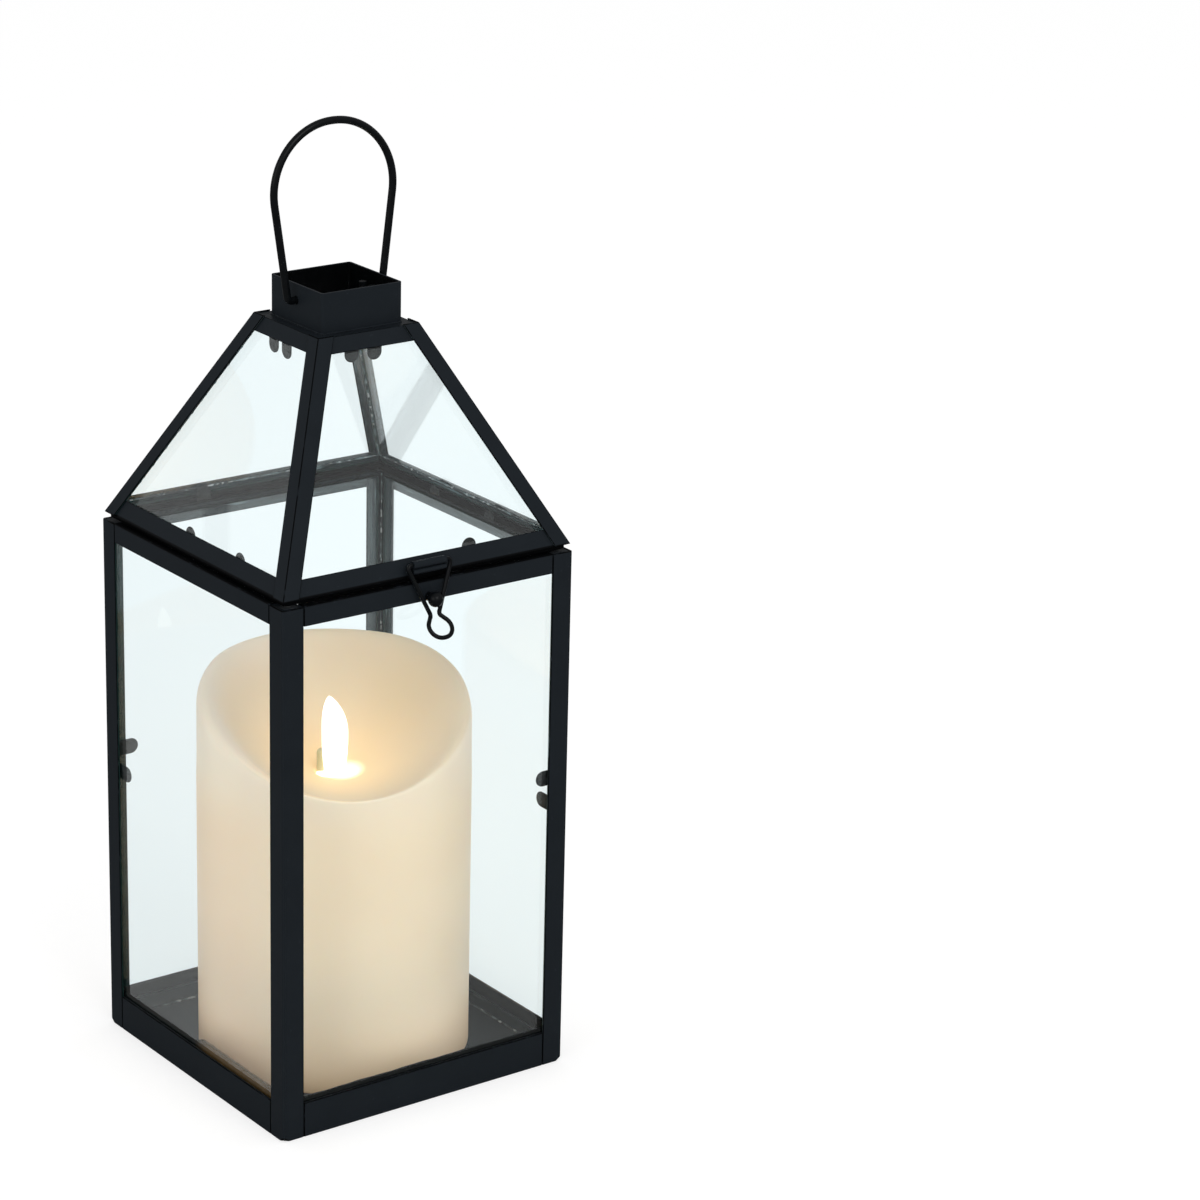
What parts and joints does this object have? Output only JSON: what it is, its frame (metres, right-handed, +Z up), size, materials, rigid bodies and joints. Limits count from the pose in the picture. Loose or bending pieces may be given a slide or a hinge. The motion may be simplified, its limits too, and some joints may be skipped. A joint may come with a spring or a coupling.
{
  "type": "candle lantern",
  "caption": "Square metal and glass lantern with a hinged pyramid roof, chimney collar, wire bail and wire latch, holding a flameless wax pillar candle.",
  "frame": {"origin": "centre of the lantern's base, on the surface it stands on", "axes": "+Z up, -Y to the side with the latch, X along the hinge and the bail's pivots"},
  "size_m": [0.125, 0.1398, 0.3611],
  "materials": {
    "black_frame": "satin black paint",
    "clear_glass": "clear float glass with green edges",
    "solder_tabs": "dull tinned steel",
    "steel": "plain steel",
    "wax": "ivory paraffin wax, satin",
    "ivory_plastic": "moulded ivory plastic",
    "black_plastic": "moulded black plastic",
    "cell": "plain printed steel can",
    "board": "green solder mask",
    "copper": "enamelled copper wire",
    "lamp": "clear epoxy lamp body",
    "flame": "frosted white plastic",
    "magnet": "nickel plated"
  },
  "bodies": {
    "lantern_body": {"floor_pan": "black_frame", "base_rail_front": "black_frame", "base_rail_right": "black_frame", "base_rail_back": "black_frame", "base_rail_left": "black_frame", "post_front_left": "black_frame", "post_front_right": "black_frame", "post_back_right": "black_frame", "post_back_left": "black_frame", "top_rail_front": "black_frame", "top_rail_right": "black_frame", "top_rail_back": "black_frame", "top_rail_left": "black_frame", "side_glass_front": "clear_glass", "side_glass_right": "clear_glass", "side_glass_back": "clear_glass", "side_glass_left": "clear_glass", "side_glass_tabs": "solder_tabs", "latch_knob": "black_frame", "hinge_leaf_body": "black_frame", "hinge_pins": "steel"},
    "lid": {"lid_rail_front": "black_frame", "lid_rail_right": "black_frame", "lid_rail_back": "black_frame", "lid_rail_left": "black_frame", "hip_front_left": "black_frame", "hip_front_right": "black_frame", "hip_back_right": "black_frame", "hip_back_left": "black_frame", "roof_cap": "black_frame", "chimney_collar": "black_frame", "roof_glass_front": "clear_glass", "roof_glass_right": "clear_glass", "roof_glass_back": "clear_glass", "roof_glass_left": "clear_glass", "roof_glass_tabs": "solder_tabs", "latch_bracket": "black_frame", "hinge_leaf_lid": "black_frame"},
    "bail": {"bail_handle": "black_frame"},
    "latch": {"latch_loop": "black_frame"},
    "candle": {"wax_shell": "wax", "candle_base": "ivory_plastic", "battery_door": "ivory_plastic", "battery_box": "ivory_plastic", "batteries": "cell", "contact_plates": "steel", "contact_springs": "steel", "circuit_board": "board", "board_screws": "steel", "inner_core": "ivory_plastic", "flame_housing": "ivory_plastic", "coil_bobbin": "ivory_plastic", "drive_coil": "copper", "led_lamp": "lamp", "pivot_wire": "steel", "switch_housing": "black_plastic"},
    "switch": {"switch_slider": "black_plastic"},
    "flame": {"flame_paddle": "flame", "flame_magnet": "magnet"}
  },
  "joints": [
    {"name": "lid_hinge", "type": "hinge", "parent": "lantern_body", "child": "lid", "pos_m": [0, 0.0643, 0.2066], "axis": [-1, 0, 0], "range_deg": [0, 170]},
    {"name": "bail_swing", "type": "hinge", "parent": "lid", "child": "bail", "pos_m": [0, 0, 0.2963], "axis": [1, 0, 0], "range_deg": [-100, 100]},
    {"name": "latch_swing", "type": "hinge", "parent": "lid", "child": "latch", "pos_m": [0, -0.0623, 0.2122], "axis": [-1, 0, 0], "range_deg": [0, 170]},
    {"name": "candle_lift", "type": "slide", "parent": "lantern_body", "child": "candle", "axis": [0, 0, 1], "range_m": [0, 0.05]},
    {"name": "switch_slide", "type": "slide", "parent": "candle", "child": "switch", "axis": [1, 0, 0], "range_m": [-0.003, 0.003]},
    {"name": "flame_sway", "type": "hinge", "parent": "candle", "child": "flame", "pos_m": [0, 0, 0.105], "axis": [0.3907, 0.9205, 0], "range_deg": [-6, 6]}
  ]
}
